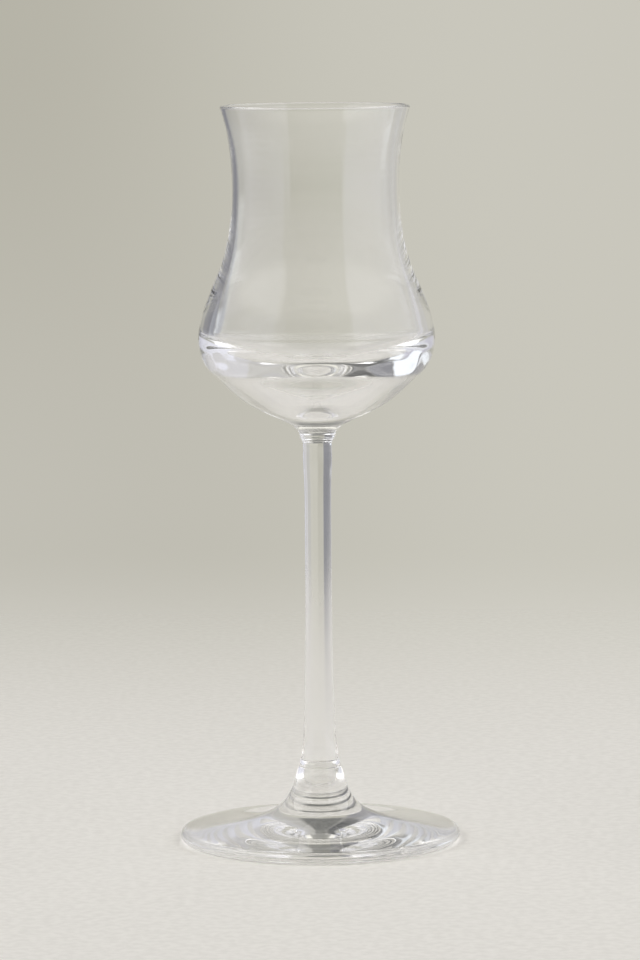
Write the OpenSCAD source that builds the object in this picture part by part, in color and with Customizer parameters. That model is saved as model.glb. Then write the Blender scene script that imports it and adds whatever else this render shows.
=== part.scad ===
// Stemmed tulip spirit glass, millimetres, +Z up.
// Origin: centre of the foot, on the surface that the glass stands on.
// Three pieces of clear glass, fused end to end: foot, stem and bowl.

/* [Heights] */
// Height of the foot, from the table to the lower weld
foot_h = 19.2; // [18:0.1:21]
// Length of the stem between the two welds
stem_l = 86; // [70:0.5:100]
// Height of the bowl, from the upper weld to the lip
bowl_h = 85.4; // [80:0.1:90]

/* [Bowl] */
// Outside diameter of the lip
rim_d = 48.8; // [46:0.1:52]
// Outside diameter of the waist
waist_d = 43; // [40:0.1:45]
// Outside diameter of the belly
belly_d = 61; // [58:0.1:64]
// Height of the waist above the upper weld
waist_up = 64.8; // [62:0.1:68]
// Height of the belly above the upper weld
belly_up = 26.3; // [25:0.1:28]
// Diameter of the crease where the neck leaves the bowl
crease_d = 13; // [12:0.1:14]
// Height of that crease above the upper weld
crease_up = 3.1; // [2.8:0.1:3.4]
// Glass thickness at the lip
rim_t = 1.2; // [1:0.1:1.6]
// Glass thickness at the waist
waist_t = 1.3; // [1.1:0.1:1.7]
// Glass thickness at the belly
belly_t = 3.8; // [3.4:0.1:4.2]
// Height of the widest place inside above the widest place outside
belly_rise = 0.5; // [0:0.1:1.5]
// Height of the inside floor above the upper weld
floor_up = 9.4; // [9:0.1:11]
// Roundness of the inside floor in the middle: 2 is an ellipse
floor_power = 2.1; // [2:0.01:2.3]
// Roundness of the inside of the base at the belly: 2 is an ellipse
side_power = 1.55; // [1.45:0.01:1.7]
// Extra glass on the shoulder of the base, halfway up
swell = 2.4; // [1.6:0.1:2.6]

/* [Stem] */
// Smallest diameter of the stem
stem_d = 6.84; // [6:0.02:7.6]
// Diameter at the upper weld
upper_weld_d = 9; // [8.6:0.1:9.4]
// Diameter at the lower weld
lower_weld_d = 10.8; // [10.4:0.1:11.2]
// Rise of each weld's domed seat
weld_dome = 0.8; // [0.5:0.1:1.2]

/* [Foot] */
// Diameter of the foot
foot_d = 72.8; // [68:0.2:78]
// Thickness of the foot's rounded edge
edge_t = 3; // [2.4:0.1:3.4]
// Rise of the hollow under the foot, at its middle
hollow_h = 0.4; // [0.2:0.1:1.2]
// Width of the flat ring that the foot stands on
ring_w = 1.5; // [1:0.1:2.5]

/* [Hidden] */
$fn = 128;
steps = 4;
glass = [0.84, 0.88, 0.90, 0.45];

z_low = foot_h;
z_up = foot_h + stem_l;
z_rim = z_up + bowl_h;

// ---- curves -------------------------------------------------------------

// A station part of the way from a to b: v across, u up
function st(a, b, v, u) = [a[0] + (b[0] - a[0]) * v, a[1] + (b[1] - a[1]) * u];

// Cubic spline with continuous curvature through the stations p.
// t0 and t1 are end directions; an end without one is left free.
function gaps(p) = [for (i = [0 : len(p) - 2]) norm(p[i + 1] - p[i])];
function rhs(p, h, t0, t1, i) =
    let (n = len(p) - 1)
    i == 0 ? (is_undef(t0) ? [0, 0] : 6 * ((p[1] - p[0]) / h[0] - t0))
    : i == n ? (is_undef(t1) ? [0, 0] : 6 * (t1 - (p[n] - p[n - 1]) / h[n - 1]))
    : 6 * ((p[i + 1] - p[i]) / h[i] - (p[i] - p[i - 1]) / h[i - 1]);
function diag(h, t0, t1, i) =
    let (n = len(h))
    i == 0 ? (is_undef(t0) ? 1 : 2 * h[0])
    : i == n ? (is_undef(t1) ? 1 : 2 * h[n - 1])
    : 2 * (h[i - 1] + h[i]);
function below(h, t1, i) = i == len(h) && is_undef(t1) ? 0 : h[i - 1];
function above(h, t0, i) = i == len(h) || (i == 0 && is_undef(t0)) ? 0 : h[i];
function sweep(p, h, t0, t1, i = 0, c = [], d = []) =
    i == len(p) ? [c, d]
    : let (m = i == 0 ? diag(h, t0, t1, 0) : diag(h, t0, t1, i) - below(h, t1, i) * c[i - 1],
           r = i == 0 ? rhs(p, h, t0, t1, 0) : rhs(p, h, t0, t1, i) - below(h, t1, i) * d[i - 1])
      sweep(p, h, t0, t1, i + 1, concat(c, [above(h, t0, i) / m]), concat(d, [r / m]));
function back(c, d, i, acc) = i < 0 ? acc : back(c, d, i - 1, concat([d[i] - c[i] * acc[0]], acc));
function bends(p, h, t0, t1) =
    let (s = sweep(p, h, t0, t1), n = len(p) - 1)
    back(s[0], s[1], n - 1, [s[1][n]]);
function spline(p, k = steps, t0 = undef, t1 = undef) =
    let (h = gaps(p), m = bends(p, h, t0, t1), n = len(p) - 1)
    concat([for (i = [0 : n - 1], j = [0 : k - 1])
        let (b = j / k, a = 1 - b)
        a * p[i] + b * p[i + 1]
            + ((a * a * a - a) * m[i] + (b * b * b - b) * m[i + 1]) * h[i] * h[i] / 6],
        [p[n]]);

// A list without its first point, and a list backwards
function rest(p) = [for (i = [1 : len(p) - 1]) p[i]];
function reversed(p) = [for (i = [len(p) - 1 : -1 : 0]) p[i]];

// Domed weld seat from the axis out to radius r, its edge at height z
function seat(r, z) = [for (i = [0 : 6]) let (x = r * i / 6) [x, z + weld_dome * (1 - pow(i / 6, 2))]];

// ---- bowl ---------------------------------------------------------------

weld_u = [upper_weld_d / 2, z_up];
crease = [crease_d / 2, z_up + crease_up];
belly = [belly_d / 2, z_up + belly_up];
waist = [waist_d / 2, z_up + waist_up];
lip = [rim_d / 2, z_rim - rim_t / 2];

neck_curve = spline([weld_u, st(weld_u, crease, 0.12, 0.32), st(weld_u, crease, 0.45, 0.65), crease], steps, [0, 1]);
outer_curve = spline([
    crease,
    st(crease, belly, 0.11, 0.055),
    st(crease, belly, 0.275, 0.135),
    st(crease, belly, 0.46, 0.235),
    st(crease, belly, 0.625, 0.365),
    st(crease, belly, 0.77, 0.505),
    st(crease, belly, 0.90, 0.635),
    st(crease, belly, 0.97, 0.77),
    belly,
    st(belly, waist, 0.07, 0.10),
    st(belly, waist, 0.29, 0.26),
    st(belly, waist, 0.59, 0.425),
    st(belly, waist, 0.81, 0.585),
    st(belly, waist, 0.93, 0.74),
    waist,
    st(waist, lip, 0.17, 0.44),
    st(waist, lip, 0.55, 0.76),
    lip]);

in_belly = [belly[0] - belly_t, belly[1] + belly_rise];
in_waist = [waist[0] - waist_t, waist[1]];
in_lip = [lip[0] - rim_t, lip[1]];
z_floor = z_up + floor_up;

// Inside of the base, from the belly (0 degrees) to the middle of the floor (90)
function bed(a) = [
    a < 90 ? in_belly[0] * pow(cos(a), 2 / floor_power) : 0,
    in_belly[1] - (in_belly[1] - z_floor) * pow(sin(a), 2 / side_power) + swell * pow(sin(2 * a), 2)];

inner_curve = spline([
    in_lip,
    st(in_lip, in_waist, 0.44, 0.28),
    st(in_lip, in_waist, 0.82, 0.59),
    in_waist,
    st(in_waist, in_belly, 0.06, 0.25),
    st(in_waist, in_belly, 0.17, 0.43),
    st(in_waist, in_belly, 0.425, 0.61),
    st(in_waist, in_belly, 0.73, 0.79),
    st(in_waist, in_belly, 0.93, 0.93),
    in_belly,
    bed(12),
    bed(24),
    bed(36),
    bed(48),
    bed(60),
    bed(70),
    bed(80),
    bed(90)], steps, undef, [-1, 0]);

// Fire-polished lip: half a round between the outside and the inside
lip_round = [for (i = [1 : 7]) let (a = 180 * i / 8)
    [lip[0] - rim_t / 2 + rim_t / 2 * cos(a), lip[1] + rim_t / 2 * sin(a)]];

module bowl() {
    color(glass)
        rotate_extrude()
            polygon(concat(seat(weld_u[0], weld_u[1]), rest(neck_curve), rest(outer_curve), lip_round, inner_curve));
}

// ---- stem ---------------------------------------------------------------

weld_l = [lower_weld_d / 2, z_low];
thin_r = stem_d / 2;
thin = [thin_r, z_low + stem_l * 0.57];

stem_curve = spline([
    weld_l,
    st(weld_l, thin, 0.38, 0.085),
    st(weld_l, thin, 0.58, 0.163),
    st(weld_l, thin, 0.76, 0.35),
    st(weld_l, thin, 0.905, 0.62),
    thin,
    [thin_r + 0.02, z_low + stem_l * 0.75],
    [thin_r + 0.12, z_low + stem_l * 0.87],
    [thin_r + 0.34, z_up - 3.4],
    [thin_r + 0.54, z_up - 1.0],
    weld_u]);

module stem() {
    color(glass)
        rotate_extrude()
            polygon(concat(seat(weld_l[0], weld_l[1]), rest(stem_curve), rest(reversed(seat(weld_u[0], weld_u[1])))));
}

// ---- foot ---------------------------------------------------------------

foot_r = foot_d / 2;
edge_r = edge_t / 2;
lean = 7;
edge_top = [foot_r - edge_r + edge_r * sin(lean), edge_r + edge_r * cos(lean)];
hub_base = [12.6, foot_h * 0.385];

top_curve = spline([
    weld_l,
    st(weld_l, hub_base, 0.065, 0.10),
    st(weld_l, hub_base, 0.17, 0.33),
    st(weld_l, hub_base, 0.28, 0.51),
    st(weld_l, hub_base, 0.37, 0.62),
    st(weld_l, hub_base, 0.55, 0.775),
    st(weld_l, hub_base, 0.735, 0.89),
    hub_base,
    st(hub_base, edge_top, 0.15, 0.31),
    st(hub_base, edge_top, 0.33, 0.53),
    st(hub_base, edge_top, 0.56, 0.73),
    st(hub_base, edge_top, 0.79, 0.89),
    edge_top], steps, undef, [cos(lean), -sin(lean)]);

// Rounded edge, from the top face round to the flat ring below
edge_round = [for (i = [1 : 10]) let (a = 90 - lean - (180 - lean) * i / 10)
    [foot_r - edge_r + edge_r * cos(a), edge_r + edge_r * sin(a)]];

// Hollow underside, from the inner edge of the ring to the axis
ring_in = foot_r - edge_r - ring_w;
hollow = [for (i = [0 : 12]) let (x = 1 - i / 12) [ring_in * x, hollow_h * (1 - x * x)]];

module foot() {
    color(glass)
        rotate_extrude()
            polygon(concat(seat(weld_l[0], weld_l[1]), rest(top_curve), edge_round, hollow));
}

foot();
stem();
bowl();
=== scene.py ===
import math

import bpy
import numpy as np
from mathutils import Matrix, Vector


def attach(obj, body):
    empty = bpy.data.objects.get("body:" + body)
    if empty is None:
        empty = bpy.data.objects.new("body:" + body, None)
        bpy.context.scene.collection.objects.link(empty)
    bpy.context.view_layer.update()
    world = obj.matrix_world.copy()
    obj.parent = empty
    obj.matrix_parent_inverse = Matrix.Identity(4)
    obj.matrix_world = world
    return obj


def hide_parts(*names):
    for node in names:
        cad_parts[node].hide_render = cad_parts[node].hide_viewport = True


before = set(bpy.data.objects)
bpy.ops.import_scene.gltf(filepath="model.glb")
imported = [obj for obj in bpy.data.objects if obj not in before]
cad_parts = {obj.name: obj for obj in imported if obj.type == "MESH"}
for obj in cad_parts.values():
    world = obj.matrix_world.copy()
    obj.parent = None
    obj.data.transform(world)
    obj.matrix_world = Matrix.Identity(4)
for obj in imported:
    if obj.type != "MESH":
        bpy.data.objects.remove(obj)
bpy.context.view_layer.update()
scene = bpy.context.scene

# --------------------------------------------------------------------------
# Camera: 640 x 960, long side vertical, seen a little from above.
# --------------------------------------------------------------------------
FOCAL_PX = 4590.0
cam_data = bpy.data.cameras.new("camera")
cam_data.sensor_fit = "AUTO"
cam_data.sensor_width = 36.0
cam_data.lens = FOCAL_PX / 960.0 * 36.0
cam_data.clip_start, cam_data.clip_end = 0.01, 50.0
cam = bpy.data.objects.new("camera", cam_data)
scene.collection.objects.link(cam)
PITCH, ROLL, YAW = math.radians(6.44), math.radians(-0.45), math.radians(-0.029)
cam.matrix_world = (
    Matrix.Translation((0.0, -1.179, 0.227))
    @ Matrix.Rotation(YAW, 4, "Z")
    @ Matrix.Rotation(math.pi / 2 - PITCH, 4, "X")
    @ Matrix.Rotation(ROLL, 4, "Z")
)
scene.camera = cam

# --------------------------------------------------------------------------
# Profiles, millimetres, on the same stations as the CAD model.
# --------------------------------------------------------------------------
foot_h = 19.2
stem_l = 86.0
bowl_h = 85.4
rim_d = 48.8
waist_d = 43.0
belly_d = 61.0
waist_up = 64.8
belly_up = 26.3
crease_d = 13.0
crease_up = 3.1
rim_t = 1.2
waist_t = 1.3
belly_t = 3.8
belly_rise = 0.5
floor_up = 9.4
floor_power = 2.1
side_power = 1.55
swell = 2.4
stem_d = 6.84
upper_weld_d = 9.0
lower_weld_d = 10.8
weld_dome = 0.8
foot_d = 72.8
edge_t = 3.0
hollow_h = 0.4
ring_w = 1.5

z_low, z_up = foot_h, foot_h + stem_l
z_rim = z_up + bowl_h


def P(*xy):
    return np.array(xy, float)


def st(a, b, v, u):
    return P(a[0] + (b[0] - a[0]) * v, a[1] + (b[1] - a[1]) * u)


def spline(p, k, t0=None, t1=None):
    """Cubic spline of continuous curvature through the stations p, k steps a gap."""
    p = np.array(p, float)
    n = len(p) - 1
    h = np.hypot(*(p[1:] - p[:-1]).T)
    m, r = np.zeros((n + 1, n + 1)), np.zeros((n + 1, 2))
    for i in range(1, n):
        m[i, i - 1 : i + 2] = h[i - 1], 2 * (h[i - 1] + h[i]), h[i]
        r[i] = 6 * ((p[i + 1] - p[i]) / h[i] - (p[i] - p[i - 1]) / h[i - 1])
    if t0 is None:
        m[0, 0] = 1
    else:
        m[0, 0:2] = 2 * h[0], h[0]
        r[0] = 6 * ((p[1] - p[0]) / h[0] - np.array(t0))
    if t1 is None:
        m[n, n] = 1
    else:
        m[n, n - 1 :] = h[n - 1], 2 * h[n - 1]
        r[n] = 6 * (np.array(t1) - (p[n] - p[n - 1]) / h[n - 1])
    c = np.linalg.solve(m, r)
    b = np.arange(k) / k
    a = 1 - b
    out = []
    for i in range(n):
        q = a[:, None] * p[i] + b[:, None] * p[i + 1]
        q = q + ((a**3 - a)[:, None] * c[i] + (b**3 - b)[:, None] * c[i + 1]) * h[i] ** 2 / 6
        out.append(q)
    return np.vstack(out + [p[n : n + 1]])


def even(p, step):
    """The same curve with points step apart along it."""
    d = np.r_[0, np.cumsum(np.hypot(*np.diff(p, axis=0).T))]
    n = max(2, int(round(d[-1] / step)))
    t = np.linspace(0, d[-1], n + 1)
    return np.c_[np.interp(t, d, p[:, 0]), np.interp(t, d, p[:, 1])]


def seat(r, z, n=14):
    x = np.linspace(0, 1, n + 1)
    return np.c_[r * x, z + weld_dome * (1 - x * x)]


weld_u, crease = P(upper_weld_d / 2, z_up), P(crease_d / 2, z_up + crease_up)
belly, waist = P(belly_d / 2, z_up + belly_up), P(waist_d / 2, z_up + waist_up)
lip = P(rim_d / 2, z_rim - rim_t / 2)
neck_curve = spline([weld_u, st(weld_u, crease, 0.12, 0.32), st(weld_u, crease, 0.45, 0.65), crease], 16, (0, 1))
outer_curve = spline(
    [crease]
    + [st(crease, belly, v, u) for v, u in ((0.11, 0.055), (0.275, 0.135), (0.46, 0.235), (0.625, 0.365), (0.77, 0.505), (0.90, 0.635), (0.97, 0.77))]
    + [belly]
    + [st(belly, waist, v, u) for v, u in ((0.07, 0.10), (0.29, 0.26), (0.59, 0.425), (0.81, 0.585), (0.93, 0.74))]
    + [waist, st(waist, lip, 0.17, 0.44), st(waist, lip, 0.55, 0.76), lip],
    40,
)
in_belly, in_waist = P(belly[0] - belly_t, belly[1] + belly_rise), P(waist[0] - waist_t, waist[1])
in_lip = P(lip[0] - rim_t, lip[1])
z_floor = z_up + floor_up


def bed(deg):
    """The inside of the base, from the belly (0 degrees) round to the middle of the floor (90)."""
    c, s = max(math.cos(math.radians(deg)), 0.0), math.sin(math.radians(deg))
    return P(
        in_belly[0] * (c ** (2 / floor_power) if deg < 90 else 0.0),
        in_belly[1] - (in_belly[1] - z_floor) * s ** (2 / side_power) + swell * math.sin(math.radians(2 * deg)) ** 2,
    )


inner_curve = spline(
    [in_lip, st(in_lip, in_waist, 0.44, 0.28), st(in_lip, in_waist, 0.82, 0.59), in_waist]
    + [st(in_waist, in_belly, v, u) for v, u in ((0.06, 0.25), (0.17, 0.43), (0.425, 0.61), (0.73, 0.79), (0.93, 0.93))]
    + [in_belly]
    + [bed(deg) for deg in (12, 24, 36, 48, 60, 70, 80, 90)],
    40,
    None,
    (-1, 0),
)
weld_l, thin_r = P(lower_weld_d / 2, z_low), stem_d / 2
thin = P(thin_r, z_low + stem_l * 0.57)
stem_curve = spline(
    [weld_l]
    + [st(weld_l, thin, v, u) for v, u in ((0.38, 0.085), (0.58, 0.163), (0.76, 0.35), (0.905, 0.62))]
    + [thin, P(thin_r + 0.02, z_low + stem_l * 0.75), P(thin_r + 0.12, z_low + stem_l * 0.87), P(thin_r + 0.34, z_up - 3.4), P(thin_r + 0.54, z_up - 1.0), weld_u],
    40,
)
foot_r, edge_r, lean = foot_d / 2, edge_t / 2, math.radians(7)
edge_top = P(foot_r - edge_r + edge_r * math.sin(lean), edge_r + edge_r * math.cos(lean))
hub_base = P(12.6, foot_h * 0.385)
top_curve = spline(
    [weld_l]
    + [st(weld_l, hub_base, v, u) for v, u in ((0.065, 0.10), (0.17, 0.33), (0.28, 0.51), (0.37, 0.62), (0.55, 0.775), (0.735, 0.89))]
    + [hub_base]
    + [st(hub_base, edge_top, v, u) for v, u in ((0.15, 0.31), (0.33, 0.53), (0.56, 0.73), (0.79, 0.89))]
    + [edge_top],
    40,
    None,
    (math.cos(lean), -math.sin(lean)),
)
ring_in = foot_r - edge_r - ring_w

# --------------------------------------------------------------------------
# Materials.
# --------------------------------------------------------------------------


def node(nt, kind, **kw):
    n = nt.nodes.new(kind)
    for k, v in kw.items():
        setattr(n, k, v)
    return n


def maths(nt, op, a, b=None, clamp=False):
    n = node(nt, "ShaderNodeMath", operation=op, use_clamp=clamp)
    for i, v in enumerate((a, b)):
        if v is None:
            continue
        if isinstance(v, (int, float)):
            n.inputs[i].default_value = v
        else:
            nt.links.new(v, n.inputs[i])
    return n.outputs[0]


def smooth(nt, v, lo, hi, to_lo=0.0, to_hi=1.0):
    n = node(nt, "ShaderNodeMapRange", interpolation_type="SMOOTHSTEP")
    nt.links.new(v, n.inputs["Value"])
    n.inputs["From Min"].default_value, n.inputs["From Max"].default_value = lo, hi
    n.inputs["To Min"].default_value, n.inputs["To Max"].default_value = to_lo, to_hi
    return n.outputs["Result"]


def mix(nt, f, a, b):
    n = node(nt, "ShaderNodeMix", data_type="RGBA", clamp_factor=True)
    for s, v in ((n.inputs[0], f), (n.inputs[6], a), (n.inputs[7], b)):
        if isinstance(v, (int, float)):
            s.default_value = v
        elif isinstance(v, tuple):
            s.default_value = (*v, 1.0)
        else:
            nt.links.new(v, s)
    return n.outputs[2]


def glass_material(name, stretch, waves):
    """Clear fire-polished glass: faint striae in the colour and a fine drawn ripple on the surface."""
    mat = bpy.data.materials.new(name)
    mat.use_nodes = True
    nt = mat.node_tree
    bsdf = nt.nodes["Principled BSDF"]
    bsdf.inputs["Roughness"].default_value = 0.0
    bsdf.inputs["IOR"].default_value = 1.52
    bsdf.inputs["Transmission Weight"].default_value = 1.0
    coord = node(nt, "ShaderNodeTexCoord")
    drawn = node(nt, "ShaderNodeMapping")
    drawn.inputs["Scale"].default_value = stretch
    nt.links.new(coord.outputs["Object"], drawn.inputs["Vector"])
    striae = node(nt, "ShaderNodeTexNoise")
    striae.inputs["Scale"].default_value = 1.0
    striae.inputs["Detail"].default_value = 4.0
    striae.inputs["Distortion"].default_value = 0.6
    nt.links.new(drawn.outputs["Vector"], striae.inputs["Vector"])
    band = smooth(nt, striae.outputs["Fac"], 0.35, 0.65)
    nt.links.new(mix(nt, band, (0.993, 0.996, 0.994), (1.0, 1.0, 1.0)), bsdf.inputs["Base Color"])
    skin = node(nt, "ShaderNodeTexNoise")
    skin.inputs["Scale"].default_value = waves
    skin.inputs["Detail"].default_value = 2.0
    nt.links.new(coord.outputs["Object"], skin.inputs["Vector"])
    height = maths(nt, "ADD", maths(nt, "MULTIPLY", skin.outputs["Fac"], 0.6), maths(nt, "MULTIPLY", striae.outputs["Fac"], 0.4))
    bump = node(nt, "ShaderNodeBump")
    bump.inputs["Strength"].default_value = 0.3
    bump.inputs["Distance"].default_value = 0.000008
    nt.links.new(height, bump.inputs["Height"])
    nt.links.new(bump.outputs["Normal"], bsdf.inputs["Normal"])
    return mat


def weld_material():
    """The fused face inside the glass, where nothing can be seen."""
    mat = bpy.data.materials.new("fused_face")
    mat.use_nodes = True
    bsdf = mat.node_tree.nodes["Principled BSDF"]
    bsdf.inputs["Alpha"].default_value = 0.0
    return mat


FUSED = weld_material()

# --------------------------------------------------------------------------
# Glass pieces: turned meshes with every wall, lip, weld and edge modelled.
# --------------------------------------------------------------------------


def turned(name, runs, material, shape, around):
    """Closed turned mesh. runs is [(points, is_fused)], from the axis round to the axis again."""
    pts, fused = [], []
    for points, is_fused in runs:
        for i, q in enumerate(points):
            if pts and i == 0 and np.hypot(*(pts[-1] - q)) < 1e-6:
                continue
            if pts:
                fused.append(is_fused if i > 0 else False)
            pts.append(np.array(q, float))
    pts = np.array(pts)
    area = np.sum(pts[:, 0] * np.roll(pts[:, 1], -1) - np.roll(pts[:, 0], -1) * pts[:, 1])
    if area < 0:
        pts, fused = pts[::-1], fused[::-1]
    n = len(pts)
    assert abs(pts[0, 0]) < 1e-9 and abs(pts[-1, 0]) < 1e-9
    tang = np.gradient(pts, axis=0)
    tang /= np.maximum(np.hypot(*tang.T), 1e-12)[:, None]
    normal = np.c_[tang[:, 1], -tang[:, 0]]
    th = np.arange(around) * 2 * math.pi / around
    ring = pts[1:-1]
    rr = np.repeat(ring[:, 0:1], around, 1)
    zz = np.repeat(ring[:, 1:2], around, 1)
    tt = np.repeat(th[None, :], len(ring), 0)
    dr, dz = shape(rr, zz, tt, normal[1:-1])
    rr, zz = rr + dr, zz + dz
    verts = np.stack([rr * np.cos(tt), rr * np.sin(tt), zz], -1).reshape(-1, 3)
    verts = np.vstack([[0, 0, pts[0, 1]], verts, [0, 0, pts[-1, 1]]]) / 1000.0
    idx = 1 + np.arange((n - 2) * around).reshape(n - 2, around)
    nxt = np.roll(idx, -1, 1)
    last = len(verts) - 1
    faces = [(0, int(b), int(a)) for a, b in zip(idx[0], nxt[0])]
    mats = [int(fused[0])] * around
    for i in range(n - 3):
        faces += [(int(a), int(b), int(c), int(d)) for a, b, c, d in zip(idx[i], nxt[i], nxt[i + 1], idx[i + 1])]
        mats += [int(fused[i + 1])] * around
    faces += [(last, int(a), int(b)) for a, b in zip(idx[-1], nxt[-1])]
    mats += [int(fused[-1])] * around
    me = bpy.data.meshes.new(name)
    me.from_pydata([tuple(v) for v in verts], [], faces)
    me.materials.append(material)
    me.materials.append(FUSED)
    me.polygons.foreach_set("material_index", mats)
    me.polygons.foreach_set("use_smooth", [True] * len(mats))
    me.update()
    ob = bpy.data.objects.new(name, me)
    scene.collection.objects.link(ob)
    return ob


a = np.linspace(0, math.pi, 17)
lip_round = np.c_[lip[0] - rim_t / 2 + rim_t / 2 * np.cos(a), lip[1] + rim_t / 2 * np.sin(a)]
a = np.radians(90 - 7) - np.radians(180 - 7) * np.linspace(0, 1, 25)
edge_round = np.c_[foot_r - edge_r + edge_r * np.cos(a), edge_r + edge_r * np.sin(a)]
x = np.linspace(1, 0, 60)
hollow = np.c_[ring_in * x, hollow_h * (1 - x * x)]
ring_flat = np.c_[np.linspace(foot_r - edge_r, ring_in, 4), np.zeros(4)]



# Surface detail in the mesh, in millimetres: what the mould and the hot welds leave behind.
def ridge(rr, zz, tt, z, size):
    """A slightly slanting, uneven bead where two pieces are fused, pushed out from the axis."""
    slant = z + 0.35 * np.cos(tt + 0.2)
    return size * (1 + 0.35 * np.sin(3 * tt + 1.0) + 0.2 * np.sin(5 * tt + 2.2)) * np.exp(-(((zz - slant) / 0.6) ** 2))


def window(v, lo, hi, soft):
    t = np.clip(np.minimum(v - lo, hi - v) / soft, 0, 1)
    return t * t * (3 - 2 * t)


def bowl_skin(rr, zz, tt, normal):
    """Fine rings from the turning mould on the wall, a slow wobble, and the upper weld's bead."""
    wall = window(zz, z_up + 26, z_rim - 2, 8)
    rings = np.sin(2 * math.pi * zz / 2.3 + 1.1 * np.sin(2 * tt + 0.4) + 0.9 * rr) * (0.6 + 0.4 * np.sin(0.23 * zz + tt))
    wobble = np.sin(3 * tt + 0.06 * zz + 0.3 * rr) + 0.6 * np.sin(5 * tt - 0.04 * zz + 1.7)
    d = wall * (0.0030 * rings + 0.004 * wobble)
    bead = np.where(rr > weld_u[0] - 1e-6, ridge(rr, zz, tt, z_up, 0.10), 0.0)
    return d * normal[:, 0:1] + bead, d * normal[:, 1:2]


def stem_skin(rr, zz, tt, normal):
    """Long draw lines down the rod and the upper weld's bead."""
    rod = window(zz, z_low + 2, z_up - 2, 10)
    d = rod * (0.005 * np.sin(2 * tt + 0.02 * zz + 0.7) + 0.003 * np.sin(5 * tt - 0.05 * zz))
    bead = np.where(zz < z_up + 1e-6, ridge(rr, zz, tt, z_up, 0.10), 0.0)
    return d * normal[:, 0:1] + bead, d * normal[:, 1:2]


def foot_skin(rr, zz, tt, normal):
    """Wide, very shallow rings on the top of the disc."""
    top = window(rr, 13, foot_r - 2, 4) * (zz > hollow_h + 0.5)
    d = top * (0.0012 * np.sin(2 * math.pi * rr / 5.5 + 0.5 * np.sin(tt)) + 0.003 * np.sin(3 * tt + 0.2 * rr))
    return d * normal[:, 0:1], d * normal[:, 1:2]


BOWL_GLASS = glass_material("bowl_clear_glass", (160.0, 160.0, 40.0), 320.0)
STEM_GLASS = glass_material("stem_clear_glass", (500.0, 500.0, 20.0), 420.0)
FOOT_GLASS = glass_material("foot_clear_glass", (90.0, 90.0, 300.0), 280.0)

bowl = turned(
    "bowl_glass",
    [
        (seat(*weld_u), True),
        (even(neck_curve, 0.16), False),
        (even(outer_curve, 0.42), False),
        (lip_round, False),
        (even(inner_curve, 0.42), False),
    ],
    BOWL_GLASS,
    bowl_skin,
    144,
)
stem = turned(
    "stem_glass",
    [(seat(*weld_l), True), (even(stem_curve, 0.3), False), (seat(*weld_u)[::-1], True)],
    STEM_GLASS,
    stem_skin,
    144,
)
foot = turned(
    "foot_glass",
    [(seat(*weld_l), True), (even(top_curve, 0.2), False), (edge_round, False), (ring_flat, False), (hollow, False)],
    FOOT_GLASS,
    foot_skin,
    208,
)
for piece, part in ((bowl, "bowl"), (stem, "stem"), (foot, "foot")):
    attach(piece, "root")
    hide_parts(part)

# --------------------------------------------------------------------------
# Stage: pale floor that fades into a soft surround, panels and cards.
# --------------------------------------------------------------------------


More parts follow.
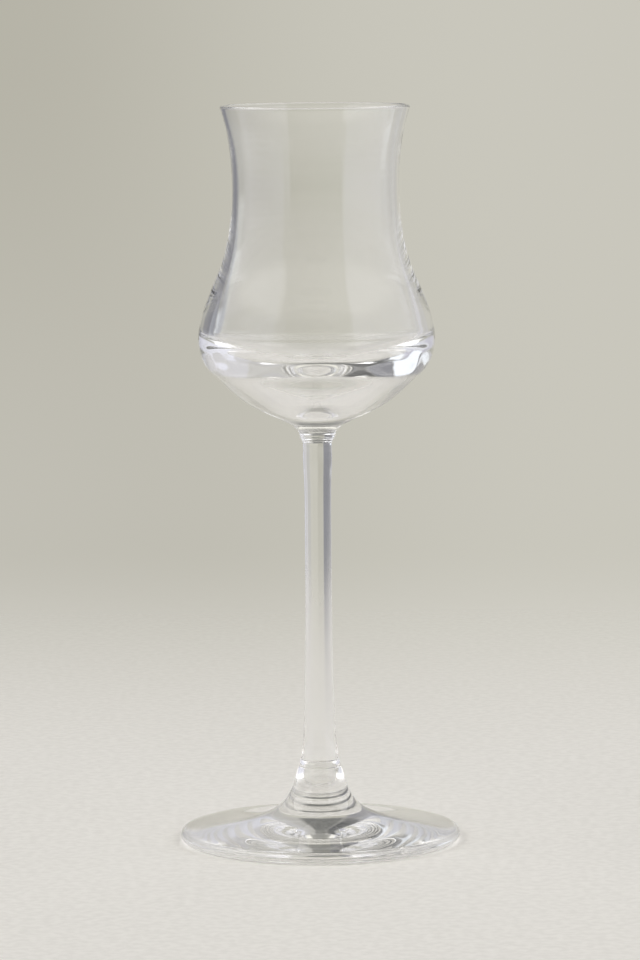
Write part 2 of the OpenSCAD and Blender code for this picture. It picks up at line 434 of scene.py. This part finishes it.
# Surround: soft cards by direction, each laid over the ones before it. Azimuth is in
# degrees from +Y, right positive (front cards: from -Y, left positive); el is elevation.
# name, front, from az, to az, from el, to el, softness az, softness el, tone
CARDS = [
    ("room_low", False, -181, 181, -91, 10, 1, 4, (0.60, 0.59, 0.52)),
    ("room_high", False, -181, 181, 10, 91, 1, 4, (0.64, 0.62, 0.58)),
    ("front_floor", True, -38, 45, -91, -8, 1, 3, (0.46, 0.45, 0.38)),
    ("front_low", True, -38, 45, -8, 6, 1, 3, (0.26, 0.26, 0.19)),
    ("front_mid", True, -38, 45, 6, 30, 1, 5, (0.45, 0.44, 0.38)),
    ("front_high", True, -45, 45, 30, 60, 3, 6, (1.10, 1.07, 0.97)),
    ("left_floor", False, -135, -64, -91, -8, 1, 3, (0.60, 0.60, 0.64)),
    ("left_low", False, -135, -64, -8, 8, 1, 3, (0.55, 0.54, 0.62)),
    ("left_mid", False, -135, -64, 8, 28, 1, 4, (0.74, 0.75, 0.81)),
    ("left_high", False, -140, -64, 28, 60, 3, 6, (2.30, 2.27, 2.26)),
    ("right_floor", False, 60, 142, -91, -8, 1, 1, (0.85, 0.84, 0.89)),
    ("right_low", False, 60, 142, -8, 4, 1, 1, (0.87, 0.87, 0.95)),
    ("right_mid", False, 60, 142, 4, 28, 1, 4, (0.82, 0.82, 0.89)),
    ("right_high", False, 60, 140, 28, 60, 3, 6, (1.90, 1.88, 1.92)),
    ("side_low", False, 38, 60, -91, 20, 2, 4, (0.64, 0.63, 0.64)),
    ("side_high", False, 26, 60, 20, 60, 3, 5, (0.55, 0.54, 0.53)),
    ("side_flag", False, 22, 38, -91, 20, 2, 4, (0.53, 0.52, 0.49)),
    ("back_left_low", False, -64, -48, -91, -1, 2, 2, (0.28, 0.28, 0.30)),
    ("back_left_mid", False, -64, -48, -1, 14, 2, 2, (1.05, 1.10, 1.18)),
    ("back_left_high", False, -64, -40, 14, 60, 3, 4, (0.34, 0.34, 0.34)),
    ("flag_low", False, -48, -16, -91, 16, 2, 4, (0.24, 0.24, 0.26)),
    ("flag_high", False, -44, -16, 16, 60, 3, 4, (0.12, 0.12, 0.12)),
    ("drop_left", False, -16, 0, -91, 11, 4, 2, (0.47, 0.455, 0.39)),
    ("drop_right", False, 0, 24, -91, 11, 4, 2, (0.585, 0.57, 0.505)),
    ("drop_low", False, -16, 0, -91, -4, 4, 3, (0.53, 0.515, 0.455)),
    ("above_right", False, 13, 26, 12, 60, 3, 3, (0.49, 0.48, 0.45)),
    ("above_drop", False, -16, 13, 12, 60, 3, 3, (0.18, 0.18, 0.17)),
    ("top_front", True, -90, 90, 60, 99, 15, 8, (0.30, 0.29, 0.27)),
    ("top_back", False, -90, 90, 60, 99, 15, 8, (0.20, 0.20, 0.19)),
]
world = bpy.data.worlds.new("surround")
scene.world = world
world.use_nodes = True
nt = world.node_tree
bg = nt.nodes["Background"]
coord = node(nt, "ShaderNodeTexCoord")
sep = node(nt, "ShaderNodeSeparateXYZ")
nt.links.new(coord.outputs["Generated"], sep.inputs[0])
dx, dy, dz = sep.outputs
az_back = maths(nt, "MULTIPLY", maths(nt, "ARCTAN2", dx, dy), 180 / math.pi)
az_front = maths(nt, "MULTIPLY", maths(nt, "ARCTAN2", maths(nt, "MULTIPLY", dx, -1.0), maths(nt, "MULTIPLY", dy, -1.0)), 180 / math.pi)
el = maths(nt, "MULTIPLY", maths(nt, "ARCSINE", dz), 180 / math.pi)
tone = (0.6, 0.59, 0.56)
for name, front, a0, a1, e0, e1, sa, se, rgb in CARDS:
    az = az_front if front else az_back
    span = maths(nt, "SUBTRACT", smooth(nt, az, a0 - sa, a0 + sa), smooth(nt, az, a1 - sa, a1 + sa))
    rise = maths(nt, "SUBTRACT", smooth(nt, el, e0 - se, e0 + se), smooth(nt, el, e1 - se, e1 + se))
    tone = mix(nt, maths(nt, "MULTIPLY", span, rise), tone, rgb)
nt.links.new(tone, bg.inputs["Color"])
bg.inputs["Strength"].default_value = 1.0


def grid_mesh(name, fn, nu, nv):
    verts = [fn(i / nu, j / nv) for i in range(nu + 1) for j in range(nv + 1)]
    faces = [
        (i * (nv + 1) + j, (i + 1) * (nv + 1) + j, (i + 1) * (nv + 1) + j + 1, i * (nv + 1) + j + 1)
        for i in range(nu)
        for j in range(nv)
    ]
    me = bpy.data.meshes.new(name)
    me.from_pydata(verts, [], faces)
    me.update()
    ob = bpy.data.objects.new(name, me)
    scene.collection.objects.link(ob)
    return ob


# The floor lies a hair below the standing ring, so that glass and paper never share a face.
floor = grid_mesh("floor", lambda u, v: (3.2 * (u - 0.5), 3.2 * (v - 0.5), -0.0002), 8, 8)
fm = bpy.data.materials.new("floor_paper")
fm.use_nodes = True
nt = fm.node_tree
nt.nodes.clear()
out = node(nt, "ShaderNodeOutputMaterial")
geo = node(nt, "ShaderNodeNewGeometry")
length = node(nt, "ShaderNodeVectorMath", operation="LENGTH")
nt.links.new(geo.outputs["Position"], length.inputs[0])
place = node(nt, "ShaderNodeSeparateXYZ")
nt.links.new(geo.outputs["Position"], place.inputs[0])
fade = maths(nt, "MAXIMUM", smooth(nt, place.outputs["Y"], 0.04, 0.62), smooth(nt, length.outputs["Value"], 0.16, 0.75))
noise = node(nt, "ShaderNodeTexNoise")
noise.inputs["Scale"].default_value = 900.0
noise.inputs["Detail"].default_value = 3.0
nt.links.new(geo.outputs["Position"], noise.inputs["Vector"])
bump = node(nt, "ShaderNodeBump")
bump.inputs["Strength"].default_value = 0.25
bump.inputs["Distance"].default_value = 0.0004
nt.links.new(noise.outputs["Fac"], bump.inputs["Height"])
paper = node(nt, "ShaderNodeBsdfDiffuse")
grain = node(nt, "ShaderNodeTexNoise")
grain.inputs["Scale"].default_value = 420.0
grain.inputs["Detail"].default_value = 4.0
nt.links.new(geo.outputs["Position"], grain.inputs["Vector"])
nt.links.new(mix(nt, smooth(nt, grain.outputs["Fac"], 0.3, 0.7), (0.84, 0.825, 0.785), (0.90, 0.885, 0.845)), paper.inputs["Color"])
nt.links.new(bump.outputs["Normal"], paper.inputs["Normal"])
clear = node(nt, "ShaderNodeBsdfTransparent")
ms = node(nt, "ShaderNodeMixShader")
nt.links.new(fade, ms.inputs[0])
nt.links.new(paper.outputs[0], ms.inputs[1])
nt.links.new(clear.outputs[0], ms.inputs[2])
nt.links.new(ms.outputs[0], out.inputs["Surface"])
floor.data.materials.append(fm)


scene.view_settings.view_transform = "Standard"
scene.view_settings.look = "None"
scene.cycles.max_bounces = 96
scene.cycles.transmission_bounces = 96
scene.cycles.glossy_bounces = 96
scene.cycles.transparent_max_bounces = 48
scene.cycles.use_denoising = True
scene.cycles.blur_glossy = 0.0
